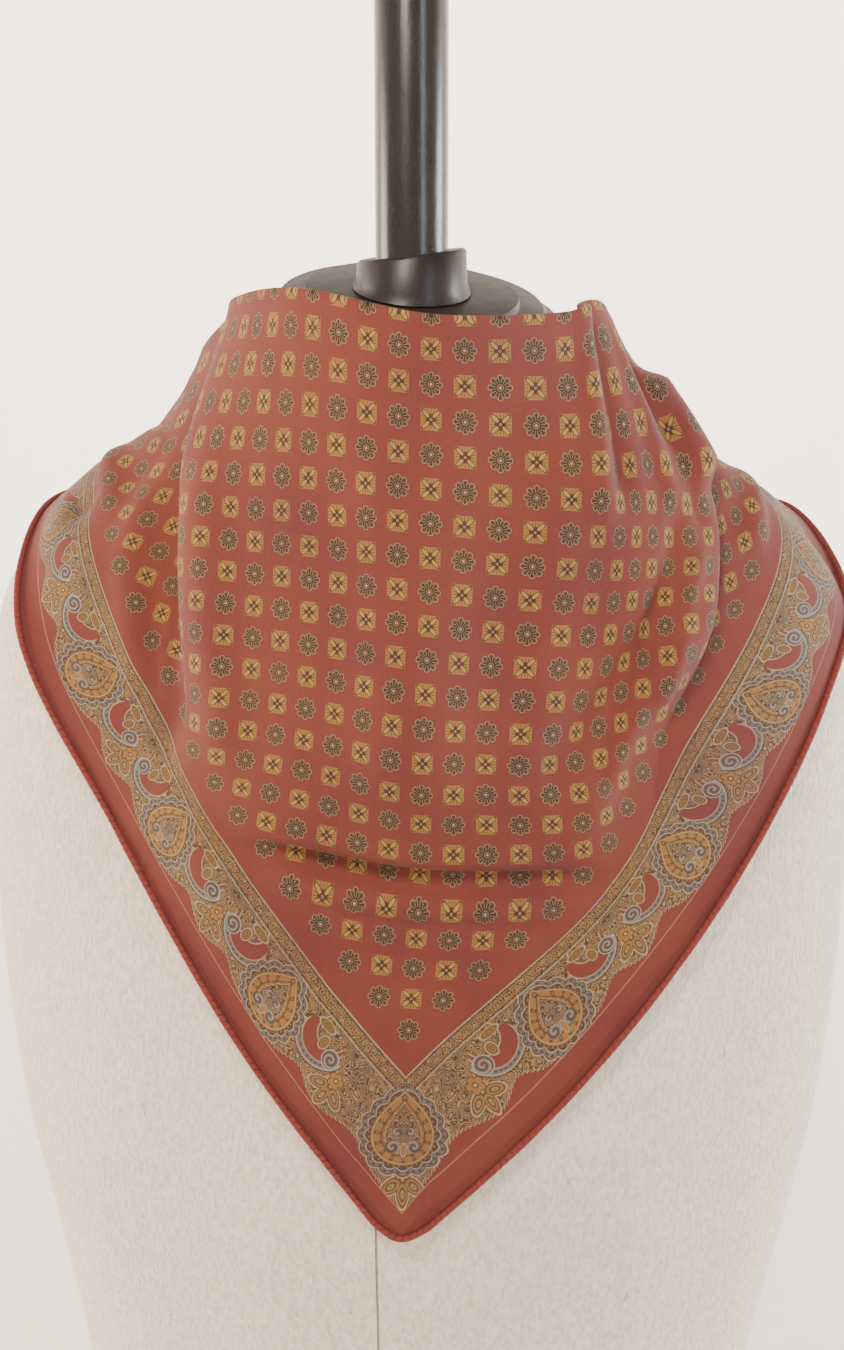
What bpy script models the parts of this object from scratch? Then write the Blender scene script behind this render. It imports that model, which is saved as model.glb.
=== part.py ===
"""A square foulard scarf, folded into a triangle and worn round the neck of a table-top dress form.

Frame: origin under the middle of the base, +Z up, the scarf's point at the front (-Y).
Lengths below are in millimetres unless a name says otherwise; the meshes are in metres.
Heights written as "level" are measured from the top plane of the neck cap.
"""

import math

import bmesh
import bpy
import numpy as np

MM = 0.001

# ---- driving dimensions -------------------------------------------------------------------
CAP_HEIGHT = 775.0            # neck cap's top plane above the floor
SCARF_SIDE = 500.0            # the square, hem to hem
HALF_FOLD = SCARF_SIDE / math.sqrt(2.0)   # fold's middle to its end, and fold to point
CLEAR_OF_FORM = 3.5           # middle of the doubled cloth above the form's cover
PLY = 1.2                     # thickness of each cloth wall
PLY_GAP = 0.3                 # between the two layers
HEM_RADIUS = 1.25             # rolled hem
HEM_GAP = 0.5                 # hem to the wall's edge
TIP_BLUNT = 10.0              # the point is cut off this far up and rounded by TIP_ROUND
TIP_ROUND = 4.1
TIP_ROUND_DEEP = 8.0
SETTLES_FROM = 55.0           # cloth this far behind the pole lies on the form
SETTLES_OVER = 12.0
CLOTH_COLUMNS = 49            # grid of the walls: across, and from the fold to the point
CLOTH_ROWS = 28

POLE_RADIUS = 14.2
POLE_TOP = 165.0              # above the cap's top plane
BORE_GAP = 0.4
COLLAR_RADIUS = 21.8
CAP_TILT = math.tan(math.radians(12.5))   # the cap falls towards the front
CAP_ROLL = math.tan(math.radians(3.5))    # and a little towards +X
FORM_TURN = math.radians(-7.0)            # the form's centre front, turned from the scarf's
BASE_RADIUS = 150.0
BASE_HEIGHT = 20.0

# Form, from the neck down: level, half width, depth in front, depth behind.
FORM_SECTIONS = (
    (-14.0, 57.0, 56.0, 57.0),
    (-34.0, 59.0, 55.0, 60.0),
    (-48.0, 72.0, 54.0, 68.0),
    (-57.0, 100.0, 54.0, 77.0),
    (-66.0, 118.0, 55.0, 84.0),
    (-80.0, 137.0, 58.0, 92.0),
    (-98.0, 156.0, 64.0, 99.0),
    (-120.0, 170.0, 72.0, 105.0),
    (-150.0, 177.0, 83.0, 110.0),
    (-190.0, 179.0, 94.0, 113.0),
    (-235.0, 180.0, 103.0, 112.0),
    (-290.0, 178.0, 110.0, 107.0),
    (-345.0, 172.0, 112.0, 99.0),
    (-410.0, 160.0, 107.0, 91.0),
    (-475.0, 150.0, 103.0, 88.0),
    (-540.0, 153.0, 104.0, 94.0),
    (-595.0, 160.0, 107.0, 101.0),
    (-632.0, 159.0, 105.0, 100.0),
    (-645.0, 152.0, 98.0, 93.0),
    (-650.0, 140.0, 87.0, 82.0),
)

# Turned neck cap: radius, level (before the tilt).
CAP_PROFILE = (
    (42.0, 1.6),
    (42.6, -1.2),
    (51.5, -1.6),
    (53.0, -3.2),
    (53.5, -6.0),
    (58.0, -6.8),
    (59.5, -9.0),
    (58.5, -12.0),
    (55.0, -13.6),
)

# The cloth hangs between lines drawn down it from the fold (t = 0) to the point. Each row of a
# line's table is one section across the cloth: t down from the fold, s along it from the middle,
# then x, y and level. Sections of every line share the same t.
SECTION_T = (0.0, 58.0, 111.0, 159.0, 217.0, 292.0, HALF_FOLD)
CENTRE = (
    (0, 7, -80, -3),
    (0, 7, -94, -58),
    (0, 6, -107, -107),
    (0, 4, -119, -151),
    (0, 3, -105, -208),
    (0, -2, -114, -278),
    (0, -4, -119, -349),
)
LEFT_LINES = {
    "front": (
        (58, -39, -66, 5),
        (58, -42, -84, -55),
        (58, -42, -99, -103),
        (58, -44, -108, -145),
        (50, -43, -105, -199),
        (22, -23, -112, -279),
        (0, -4, -119, -349),
    ),
    "fold": (
        (121, -65, -32, 0),
        (121, -83, -60, -57),
        (117, -87, -78, -103),
        (106, -82, -88, -145),
        (77, -67, -100, -195),
        (33, -33, -110, -279),
        (0, -4, -119, -349),
    ),
    "recess": (
        (158, -72, 4, -10),
        (148, -80, -38, -60),
        (133, -87, -58, -105),
        (122, -92, -78, -142),
        (96, -82, -95, -192),
        (41, -41, -108, -279),
        (0, -4, -119, -349),
    ),
    "shoulder": (
        (200, -92, 34, -32),
        (183, -101, -22, -64),
        (168, -114, -46, -97),
        (145, -107, -68, -141),
        (111, -93, -88, -191),
        (48, -47, -107, -278),
        (0, -4, -119, -349),
    ),
    "side": (
        (278, -112, 84, -82),
        (248, -128, 30, -72),
        (208, -139, -22, -89),
        (170, -129, -56, -132),
        (124, -103, -82, -190),
        (55, -53, -105, -278),
        (0, -4, -119, -349),
    ),
    "hem": (
        (353.6, -118, 108, -152),
        (295.6, -136, 70, -92),
        (242.6, -152, 8, -90),
        (194.6, -151, -42, -125),
        (136.6, -112, -77, -190),
        (61.6, -59, -103, -278),
        (0, -4, -119, -349),
    ),
}
RIGHT_LINES = {
    "front": (
        (52, 56, -56, -4),
        (58, 64, -82, -64),
        (58, 60, -93, -114),
        (56, 55, -104, -157),
        (50, 52, -105, -208),
        (22, 18, -113, -279),
        (0, -4, -119, -349),
    ),
    "pleat": (
        (84, 69, -26, -1),
        (104, 89, -68, -67),
        (104, 88, -85, -113),
        (96, 80, -92, -154),
        (77, 76, -99, -206),
        (33, 30, -110, -280),
        (0, -4, -119, -349),
    ),
    "fold": (
        (125, 80, 8, -14),
        (143, 111, -52, -71),
        (136, 107, -75, -113),
        (114, 92, -85, -153),
        (94, 90, -94, -203),
        (41, 38, -109, -281),
        (0, -4, -119, -349),
    ),
    "shoulder": (
        (190, 92, 54, -46),
        (166, 114, -36, -72),
        (160, 117, -60, -114),
        (134, 106, -75, -152),
        (108, 102, -89, -200),
        (48, 45, -107, -283),
        (0, -4, -119, -349),
    ),
    "side": (
        (272, 100, 96, -98),
        (230, 136, 0, -75),
        (200, 145, -36, -106),
        (164, 137, -61, -144),
        (123, 115, -84, -200),
        (55, 52, -105, -284),
        (0, -4, -119, -349),
    ),
    "hem": (
        (353.6, 103, 102, -176),
        (295.6, 147, 55, -90),
        (242.6, 170, -8, -107),
        (194.6, 163, -46, -135),
        (136.6, 125, -78, -201),
        (61.6, 58, -103, -286),
        (0, -4, -119, -349),
    ),
}

# Smaller folds laid on that form: start and end on the cloth as (s, t), half width and height
# (outwards is positive). Their ends die away.
FOLDS = (
    ((-70, 214), (66, 214), 5.0, -4.5),      # tuck across the chest, upper crease
    ((-60, 224), (56, 224), 5.0, 3.0),       # the roll under it
    ((76, -10), (80, 62), 8.0, -4.0),        # pleat beside the neck
    ((62, -10), (66, 70), 6.0, 2.5),
    ((150, 96), (54, 196), 10.0, 3.5),       # slanting ridge down the right side
    ((118, 92), (40, 176), 10.0, -3.0),
    ((28, 20), (24, 190), 16.0, -2.5),       # soft trough right of the middle
    ((-18, 40), (-8, 190), 18.0, 2.0),
    ((110, 10), (128, 40), 7.0, -3.5),       # ripples over the right shoulder
    ((-140, 150), (-96, 205), 9.0, -2.0),
    ((-215, 60), (-290, 10), 14.0, -3.0),    # behind the shoulders
    ((-250, 70), (-320, 20), 12.0, 2.5),
    ((205, 50), (300, 8), 14.0, -3.0),
    ((240, 60), (325, 16), 12.0, 2.5),
    ((134, 14), (146, 54), 16.0, 8.0),       # the right shoulder's full outline
    ((-238, 40), (-184, 94), 9.0, 3.5),      # the left border drops behind the field's edge
    ((-254, 44), (-198, 102), 7.0, -4.0),
    ((228, 40), (178, 92), 9.0, 3.0),        # and the right one
    ((244, 44), (192, 100), 7.0, -4.0),
    ((-128, 64), (-112, 176), 8.0, -3.5),    # hollow beside the left fold's edge
    ((-104, 50), (-84, 180), 9.0, 2.0),
)

LINE_ORDER = ("front", "fold", "recess", "shoulder", "side", "hem")
RIGHT_ORDER = ("front", "pleat", "fold", "shoulder", "side", "hem")


# ---- smooth curves through tables ----------------------------------------------------------
def tangents(knots, values):
    """Finite-difference slopes of values (rows) over knots."""
    steps = np.diff(knots)
    slopes = np.diff(values, axis=0) / steps.reshape(-1, *([1] * (values.ndim - 1)))
    out = np.empty_like(values)
    out[0] = slopes[0]
    out[-1] = slopes[-1]
    for i in range(1, len(knots) - 1):
        before = steps[i - 1]
        after = steps[i]
        out[i] = (slopes[i - 1] * after + slopes[i] * before) / (before + after)
    return out


def smooth_at(knots, values, where):
    """Cubic Hermite reading of a table at one place."""
    slopes = tangents(knots, values)
    i = int(np.clip(np.searchsorted(knots, where) - 1, 0, len(knots) - 2))
    span = knots[i + 1] - knots[i]
    u = (where - knots[i]) / span
    return (
        values[i] * (2 * u**3 - 3 * u**2 + 1)
        + values[i + 1] * (3 * u**2 - 2 * u**3)
        + slopes[i] * span * (u**3 - 2 * u**2 + u)
        + slopes[i + 1] * span * (u**3 - u**2)
    )


# ---- the dress form's surface --------------------------------------------------------------
def form_section(level):
    """Half width and depths of the form at a level."""
    table = np.array(FORM_SECTIONS)[::-1]
    level = float(np.clip(level, table[0, 0], table[-1, 0]))
    return smooth_at(table[:, 0], table[:, 1:], level)


def form_excess(point):
    """Below 1 inside the form, above 1 outside."""
    cos_turn = math.cos(-FORM_TURN)
    sin_turn = math.sin(-FORM_TURN)
    x = point[0] * cos_turn - point[1] * sin_turn
    y = point[0] * sin_turn + point[1] * cos_turn
    width, front, back = form_section(point[2])
    depth = front if y < 0 else back
    return math.sqrt((x / width) ** 2 + (y / depth) ** 2)


def form_gradient(point):
    return np.array([form_excess(point + d) - form_excess(point - d) for d in np.eye(3)]) / 2.0


def form_slope(point):
    """Unit direction straight out of the form."""
    gradient = form_gradient(point)
    return gradient / np.linalg.norm(gradient)


def form_distance(point):
    """Distance off the form's cover, near it."""
    return (form_excess(point) - 1.0) / float(np.linalg.norm(form_gradient(point)))


def clear_of_form(point, clearance):
    """Moves a point out of the form until it stands the clearance off its cover."""
    point = np.array(point, dtype=float)
    for _ in range(6):
        distance = form_distance(point)
        if distance >= clearance:
            break
        point += form_slope(point) * (clearance - distance)
    return point


def settled_behind(point):
    """Behind the shoulders the cloth lies down on the form."""
    lying = 1.0 / (1.0 + math.exp(-(point[1] - SETTLES_FROM) / SETTLES_OVER))
    standing = max(0.0, form_distance(point) - CLEAR_OF_FORM)
    drop = standing * lying * 0.9
    return point - form_slope(point) * drop


# ---- the scarf's surface -------------------------------------------------------------------
def section_across(t):
    """All the lines' places at one t: s, x, y and level, from the left hem to the right one."""
    knots = np.array(SECTION_T)
    left = [np.array(LEFT_LINES[name], dtype=float) * (-1, 1, 1, 1) for name in LINE_ORDER]
    right = [np.array(RIGHT_LINES[name], dtype=float) for name in RIGHT_ORDER]
    lines = left[::-1] + [np.array(CENTRE, dtype=float)] + right
    rows = np.array([smooth_at(knots, line, t) for line in lines])
    half = HALF_FOLD - t
    if half > 0.0:
        rows[0, 0] = -half
        rows[-1, 0] = half
    return rows


def fold_height(s, t):
    """Sum of the small folds at one place on the cloth."""
    total = 0.0
    for start, end, width, height in FOLDS:
        start = np.array(start, dtype=float)
        along = np.array(end, dtype=float) - start
        length = float(np.linalg.norm(along))
        offset = np.array((s, t)) - start
        u = float(offset @ along) / length**2
        across = abs(offset[0] * along[1] - offset[1] * along[0]) / length
        ends = math.exp(-(max(0.0, abs(u - 0.5) - 0.32) / 0.14) ** 2)
        total += height * ends * math.exp(-((across / width) ** 2))
    return total


def cloth_grid(columns, rows):
    """Points and outward normals of the doubled cloth's middle, fold to point, left to right."""
    stations = np.linspace(0.0, 12.0, columns)
    knots = np.arange(13.0)
    levels = (HALF_FOLD - TIP_BLUNT) * np.linspace(0.0, 1.0, rows) ** 0.96
    places = np.empty((rows, columns, 4))
    for j, t in enumerate(levels):
        table = section_across(t)
        for i, station in enumerate(stations):
            places[j, i] = smooth_at(knots, table, station)
    points = places[:, :, 1:]
    for j in range(rows):
        for i in range(columns):
            points[j, i] = clear_of_form(settled_behind(points[j, i]), CLEAR_OF_FORM)
    normals = grid_normals(points)
    for j, t in enumerate(levels):
        for i in range(columns):
            lifted = points[j, i] + normals[j, i] * fold_height(places[j, i, 0], t)
            points[j, i] = clear_of_form(lifted, CLEAR_OF_FORM)
    points = rounded_point(points, levels)
    return points, grid_normals(points)


def rounded_point(points, levels):
    """Lets the last rows sag in the middle, so that the scarf's point is round."""
    columns = points.shape[1]
    off_middle = np.linspace(-1.0, 1.0, columns)
    fading = np.exp((levels - levels[-1]) / TIP_ROUND_DEEP)
    sag = TIP_ROUND * fading[:, None] * (1.0 - off_middle**2)
    down = np.gradient(points, axis=0)
    down /= np.linalg.norm(down, axis=2, keepdims=True)
    return points + down * sag[..., None]


def grid_normals(points):
    along = np.gradient(points, axis=1)
    down = np.gradient(points, axis=0)
    normals = np.cross(along, -down)
    return -normals / np.linalg.norm(normals, axis=2, keepdims=True) * outward_sign(points, normals)


def outward_sign(points, normals):
    """Turns the normals away from the form's axis, judged at the middle of the chest."""
    j = points.shape[0] // 2
    i = points.shape[1] // 2
    return 1.0 if -normals[j, i, 1] < 0 else -1.0


# ---- meshes --------------------------------------------------------------------------------
def new_object(name, vertices, faces, material, smooth_angle=40.0):
    mesh = bpy.data.meshes.new(name)
    raised = [(x * MM, y * MM, (z + CAP_HEIGHT) * MM) for x, y, z in vertices]
    mesh.from_pydata(raised, [], faces)
    mesh.materials.append(material)
    mesh.shade_smooth()
    mesh.set_sharp_from_angle(angle=math.radians(smooth_angle))
    thing = bpy.data.objects.new(name, mesh)
    bpy.context.scene.collection.objects.link(thing)
    work = bmesh.new()
    work.from_mesh(mesh)
    bmesh.ops.recalc_face_normals(work, faces=work.faces)
    work.to_mesh(mesh)
    work.free()
    return thing


def plain_material(name, colour, roughness, metallic=0.0):
    material = bpy.data.materials.new(name)
    material.use_nodes = True
    shader = material.node_tree.nodes["Principled BSDF"]
    shader.inputs["Base Color"].default_value = (*colour, 1.0)
    shader.inputs["Roughness"].default_value = roughness
    shader.inputs["Metallic"].default_value = metallic
    return material


def wall(name, front, back, material):
    """A closed wall between two grids of points of the same size."""
    rows, columns = front.shape[:2]
    count = rows * columns
    vertices = [tuple(p) for p in front.reshape(-1, 3)] + [tuple(p) for p in back.reshape(-1, 3)]
    faces = []
    for j in range(rows - 1):
        for i in range(columns - 1):
            a = j * columns + i
            b = a + 1
            c = a + columns + 1
            d = a + columns
            faces.append((a, b, c))
            faces.append((a, c, d))
            faces.append((count + a, count + c, count + b))
            faces.append((count + a, count + d, count + c))
    rim = [i for i in range(columns)]
    rim += [j * columns + columns - 1 for j in range(1, rows)]
    rim += [(rows - 1) * columns + i for i in range(columns - 2, -1, -1)]
    rim += [j * columns for j in range(rows - 2, 0, -1)]
    for k, a in enumerate(rim):
        b = rim[(k + 1) % len(rim)]
        faces.append((a, count + b, b))
        faces.append((a, count + a, count + b))
    return new_object(name, vertices, faces, material)


def lathe_vertices(profile, segments, tilted):
    vertices = []
    for radius, level in profile:
        for k in range(segments):
            angle = 2.0 * math.pi * k / segments
            x = radius * math.cos(angle)
            y = radius * math.sin(angle)
            lift = CAP_TILT * y - CAP_ROLL * x if tilted else 0.0
            vertices.append((x, y, level + lift))
    return vertices


def ring_faces(rings, segments, closed):
    """Faces between successive rings; a closed profile also joins the last ring to the first."""
    faces = []
    last = rings if closed else rings - 1
    for j in range(last):
        following = (j + 1) % rings
        for k in range(segments):
            nxt = (k + 1) % segments
            faces.append((j * segments + k, j * segments + nxt, following * segments + nxt,
                          following * segments + k))
    return faces


def turned_ring(name, profile, segments, material, tilted=False):
    """A turned piece with a bore: its profile is a closed loop clear of the axis."""
    vertices = lathe_vertices(profile, segments, tilted)
    return new_object(name, vertices, ring_faces(len(profile), segments, True), material, 30.0)


def turned_solid(name, profile, segments, material):
    """A turned piece without a bore, with flat ends."""
    faces = ring_faces(len(profile), segments, False)
    faces.append(tuple(range(segments)))
    faces.append(tuple(range((len(profile) - 1) * segments, len(profile) * segments)))
    return new_object(name, lathe_vertices(profile, segments, False), faces, material, 30.0)


def tube_along(name, path, radius, sides, material):
    """A round tube along a list of points, with flat ends."""
    path = np.array(path)
    ahead = np.gradient(path, axis=0)
    ahead /= np.linalg.norm(ahead, axis=1, keepdims=True)
    side = np.cross(ahead[0], (0.0, 0.0, 1.0))
    side /= np.linalg.norm(side)
    vertices = []
    for point, direction in zip(path, ahead):
        side = side - direction * float(side @ direction)
        side /= np.linalg.norm(side)
        up = np.cross(direction, side)
        for k in range(sides):
            angle = 2.0 * math.pi * k / sides
            vertices.append(tuple(point + radius * (math.cos(angle) * side + math.sin(angle) * up)))
    faces = ring_faces(len(path), sides, False)
    faces.append(tuple(range(sides)))
    faces.append(tuple(range((len(path) - 1) * sides, len(path) * sides)))
    return new_object(name, vertices, faces, material)


# ---- the scarf's pieces --------------------------------------------------------------------
def hem_path(points, normals, lift):
    """The edge from the left end of the fold round the point to the right end, moved outwards."""
    rows, columns = points.shape[:2]
    edge = [(j, 0) for j in range(rows)]
    edge += [(rows - 1, i) for i in range(1, columns - 1)]
    edge += [(j, columns - 1) for j in range(rows - 1, -1, -1)]
    line = np.array([points[j, i] for j, i in edge])
    facing = np.array([normals[j, i] for j, i in edge])
    ahead = np.gradient(line, axis=0)
    outward = np.cross(ahead, facing)
    outward /= np.linalg.norm(outward, axis=1, keepdims=True)
    beside = len(edge) // 8
    if float(outward[beside] @ (line[beside] - points[beside, columns // 2])) < 0:
        outward = -outward
    path = line + outward * (HEM_RADIUS + HEM_GAP) + facing * lift
    keep = [0]
    for k in range(1, len(path)):
        if np.linalg.norm(path[k] - path[keep[-1]]) > 1.0 * HEM_RADIUS:
            keep.append(k)
    return path[keep]


def build_scarf():
    foulard = plain_material("foulard", (0.42, 0.11, 0.09), 0.7)
    hem = plain_material("foulard_hem", (0.26, 0.05, 0.06), 0.7)
    near = PLY_GAP / 2.0
    far = near + PLY
    points, normals = cloth_grid(CLOTH_COLUMNS, CLOTH_ROWS)
    wall("scarf_outer_layer", points + normals * far, points + normals * near, foulard)
    wall("scarf_inner_layer", points - normals * near, points - normals * far, foulard)
    hem_lift = HEM_RADIUS + near
    tube_along("scarf_outer_hem", hem_path(points, normals, hem_lift), HEM_RADIUS, 6, hem)
    tube_along("scarf_inner_hem", hem_path(points, normals, -hem_lift), HEM_RADIUS, 6, hem)


# ---- the dress form's pieces ---------------------------------------------------------------
def build_torso():
    """The covered form: an outer skin of sections and the pole's bore, in one closed solid."""
    segments = 40
    vertices = []
    top = FORM_SECTIONS[0][0]
    levels = [row[0] for row in FORM_SECTIONS[:10]]
    levels += [float(v) for v in np.linspace(FORM_SECTIONS[9][0], FORM_SECTIONS[16][0], 12)[1:]]
    levels += [row[0] for row in FORM_SECTIONS[17:]]
    for level in levels:
        width, front, back = form_section(level)
        for k in range(segments):
            angle = 2.0 * math.pi * k / segments
            x = width * math.cos(angle)
            y = (front if math.sin(angle) < 0 else back) * math.sin(angle)
            turned_x = x * math.cos(FORM_TURN) - y * math.sin(FORM_TURN)
            turned_y = x * math.sin(FORM_TURN) + y * math.cos(FORM_TURN)
            lift = CAP_TILT * turned_y - CAP_ROLL * turned_x if level == top else 0.0
            vertices.append((turned_x, turned_y, level + lift))
    bore = POLE_RADIUS + BORE_GAP
    for level, tilted in ((FORM_SECTIONS[-1][0], False), (FORM_SECTIONS[0][0], True)):
        vertices += lathe_vertices(((bore, level),), segments, tilted)
    linen = plain_material("linen_cover", (0.72, 0.68, 0.6), 0.9)
    faces = ring_faces(len(levels) + 2, segments, True)
    new_object("form_torso", vertices, faces, linen)


def build_cap():
    lacquer = plain_material("lacquered_wood", (0.045, 0.03, 0.026), 0.35)
    bore = POLE_RADIUS + BORE_GAP
    collar_foot = COLLAR_RADIUS + 0.3
    profile = [(collar_foot + 1.0, 1.6)] + list(CAP_PROFILE) + [(bore + 3.0, -13.6), (bore + 3.0, 1.6)]
    turned_ring("neck_cap", profile, 64, lacquer, tilted=True)
    build_collar(lacquer, bore)


def build_collar(lacquer, bore):
    """A ferrule on the cap, its foot following the tilted cap and its rim cut nearly level."""
    segments = 48
    rings = ((bore, 2.0, 1.0), (COLLAR_RADIUS + 1.6, 2.0, 1.0), (COLLAR_RADIUS, 5.5, 0.9),
             (COLLAR_RADIUS - 0.4, 14.6, 0.0), (COLLAR_RADIUS - 1.4, 15.6, 0.0), (bore, 15.6, 0.0))
    vertices = []
    for radius, level, follow in rings:
        for k in range(segments):
            angle = 2.0 * math.pi * k / segments
            x = radius * math.cos(angle)
            y = radius * math.sin(angle)
            tilt = CAP_TILT * y - CAP_ROLL * x
            rim_cut = 0.115 * x
            vertices.append((x, y, level + follow * tilt + (1.0 - follow) * rim_cut))
    new_object("neck_collar", vertices, ring_faces(len(rings), segments, True), lacquer, 30.0)


def build_stand():
    lacquer = plain_material("lacquered_pole", (0.04, 0.028, 0.025), 0.3)
    iron = plain_material("painted_base", (0.05, 0.045, 0.043), 0.45)
    foot = BASE_HEIGHT + 0.3 - CAP_HEIGHT
    pole = ((POLE_RADIUS, foot), (POLE_RADIUS, POLE_TOP - 4.0), (POLE_RADIUS - 1.2, POLE_TOP - 1.2),
            (POLE_RADIUS - 4.0, POLE_TOP))
    turned_solid("pole", pole, 32, lacquer)
    floor = -CAP_HEIGHT
    base = ((BASE_RADIUS - 1.0, floor), (BASE_RADIUS, floor + 1.5), (BASE_RADIUS, floor + 9.0),
            (BASE_RADIUS - 5.0, floor + 13.0), (60.0, floor + 17.5), (30.0, floor + BASE_HEIGHT))
    turned_solid("base", base, 64, iron)


def clear_scene():
    for thing in list(bpy.data.objects):
        bpy.data.objects.remove(thing, do_unlink=True)


def main():
    clear_scene()
    build_torso()
    build_cap()
    build_stand()
    build_scarf()


main()
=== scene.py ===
"""Looks of a square foulard on its dress form: cloth, print, linen, lacquer, light and camera.

The cloth and the form's cover repeat the part's own formulas on finer grids. Tables are in
millimetres, with "level" measured from the top plane of the neck cap; meshes are in metres.
The print is drawn by shader nodes in the flat square's own millimetres.
"""

import copy
import math

import bmesh
import bpy
import numpy as np
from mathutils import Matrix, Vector

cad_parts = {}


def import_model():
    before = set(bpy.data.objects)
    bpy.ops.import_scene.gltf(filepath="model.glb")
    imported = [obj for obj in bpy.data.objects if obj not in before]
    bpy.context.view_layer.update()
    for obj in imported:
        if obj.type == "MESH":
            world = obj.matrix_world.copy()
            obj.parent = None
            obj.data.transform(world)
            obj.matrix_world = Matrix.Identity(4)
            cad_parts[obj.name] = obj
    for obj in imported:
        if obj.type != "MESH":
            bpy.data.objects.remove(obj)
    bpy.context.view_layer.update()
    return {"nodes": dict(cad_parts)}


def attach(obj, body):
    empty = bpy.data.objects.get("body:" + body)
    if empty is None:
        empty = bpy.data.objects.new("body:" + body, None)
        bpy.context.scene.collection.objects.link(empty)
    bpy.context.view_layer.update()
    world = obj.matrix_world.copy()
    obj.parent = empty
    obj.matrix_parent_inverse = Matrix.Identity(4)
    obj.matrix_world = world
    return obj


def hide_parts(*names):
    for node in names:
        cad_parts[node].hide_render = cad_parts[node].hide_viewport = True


MM = 0.001
CAP_HEIGHT = 775.0            # neck cap's top plane above the floor

# ---- the scarf, as in the part ----
SCARF_SIDE = 500.0
HALF_FOLD = SCARF_SIDE / math.sqrt(2.0)
CLEAR_OF_FORM = 3.5
TIP_BLUNT = 10.0
TIP_ROUND = 5.4               # a little rounder than the solid's
TIP_ROUND_DEEP = 8.0
SETTLES_FROM = 55.0
SETTLES_OVER = 12.0
SETTLES_SHARE = 0.9           # of its height over the form
CLEARING_STEPS = 6
FOLD_FULL_HALF = 0.32         # share of a fold's length, each way, at its full height
FOLD_END_SOFT = 0.14
CLOTH_THICK = 0.4             # one ply of the real cotton
PLY_APART = 0.45              # each ply from the doubled cloth's middle
FOLD_ROLL = 0.95              # the fold's edge is rounder than that
FOLD_ROLL_DEEP = 5.0
CLOTH_COLUMNS = 203
OUTER_ROWS = 152
INNER_ROWS = 70
ROW_SPREAD = 0.96             # below 1: rows a little closer towards the point
ROLL_STEPS = 6
HEM_SIDES = 12
HEM_SMOOTHING = 12            # rounds
HEM_POINT_APART = 0.5         # least distance between two points of its path
HEM_RADIUS = 1.25
HEM_LIFT = 1.4
HEM_OVERLAP = 0.3
INNER_HEM_OUT = 0.9           # the lower layer's hem shows a little beyond the upper one's
STITCH_APART = 3.1

FORM_TURN = math.radians(-7.0)
FORM_SECTIONS = (
    (-14.0, 57.0, 56.0, 57.0),
    (-34.0, 59.0, 55.0, 60.0),
    (-48.0, 72.0, 54.0, 68.0),
    (-57.0, 100.0, 54.0, 77.0),
    (-66.0, 118.0, 55.0, 84.0),
    (-80.0, 137.0, 58.0, 92.0),
    (-98.0, 156.0, 64.0, 99.0),
    (-120.0, 170.0, 72.0, 105.0),
    (-150.0, 177.0, 83.0, 110.0),
    (-190.0, 179.0, 94.0, 113.0),
    (-235.0, 180.0, 103.0, 112.0),
    (-290.0, 178.0, 110.0, 107.0),
    (-345.0, 172.0, 112.0, 99.0),
    (-410.0, 160.0, 107.0, 91.0),
    (-475.0, 150.0, 103.0, 88.0),
    (-540.0, 153.0, 104.0, 94.0),
    (-595.0, 160.0, 107.0, 101.0),
    (-632.0, 159.0, 105.0, 100.0),
    (-645.0, 152.0, 98.0, 93.0),
    (-650.0, 140.0, 87.0, 82.0),
)
CAP_TILT = math.tan(math.radians(12.5))
CAP_ROLL = math.tan(math.radians(3.5))
BORE_RADIUS = 14.6
COVER_SEGMENTS = 168
COVER_ROWS = (                # from level, to level, rows
    (-14.0, -100.0, 44),
    (-104.0, -628.0, 100),
    (-632.0, -650.0, 12),
)

SECTION_T = (0.0, 58.0, 111.0, 159.0, 217.0, 292.0, HALF_FOLD)
POINT = (0, -4, -119, -349)    # where every line ends
# Rows of each line at the levels in SECTION_T: s along the fold, then x, y and level.
CENTRE = (
    (0, 7, -80, -3),
    (0, 7, -94, -58),
    (0, 6, -107, -107),
    (0, 4, -119, -151),
    (0, 3, -105, -208),
    (0, -2, -114, -278),
    POINT,
)
LEFT_LINES = {
    "front": (
        (58, -39, -66, 5),
        (58, -42, -84, -55),
        (58, -42, -99, -103),
        (58, -44, -108, -145),
        (50, -43, -105, -199),
        (22, -23, -112, -279),
        POINT,
    ),
    "fold": (
        (121, -65, -32, 0),
        (121, -83, -60, -57),
        (117, -87, -78, -103),
        (106, -82, -88, -145),
        (77, -67, -100, -195),
        (33, -33, -110, -279),
        POINT,
    ),
    "recess": (
        (158, -72, 4, -10),
        (148, -80, -38, -60),
        (133, -87, -58, -105),
        (122, -92, -78, -142),
        (96, -82, -95, -192),
        (41, -41, -108, -279),
        POINT,
    ),
    "shoulder": (
        (200, -92, 34, -32),
        (183, -101, -22, -64),
        (168, -114, -46, -97),
        (145, -107, -68, -141),
        (111, -93, -88, -191),
        (48, -47, -107, -278),
        POINT,
    ),
    "side": (
        (278, -112, 84, -82),
        (248, -128, 30, -72),
        (208, -139, -22, -89),
        (170, -129, -56, -132),
        (124, -103, -82, -190),
        (55, -53, -105, -278),
        POINT,
    ),
    "hem": (
        (353.6, -118, 108, -152),
        (295.6, -136, 70, -92),
        (242.6, -152, 8, -90),
        (194.6, -151, -42, -125),
        (136.6, -112, -77, -190),
        (61.6, -59, -103, -278),
        POINT,
    ),
}
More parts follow.
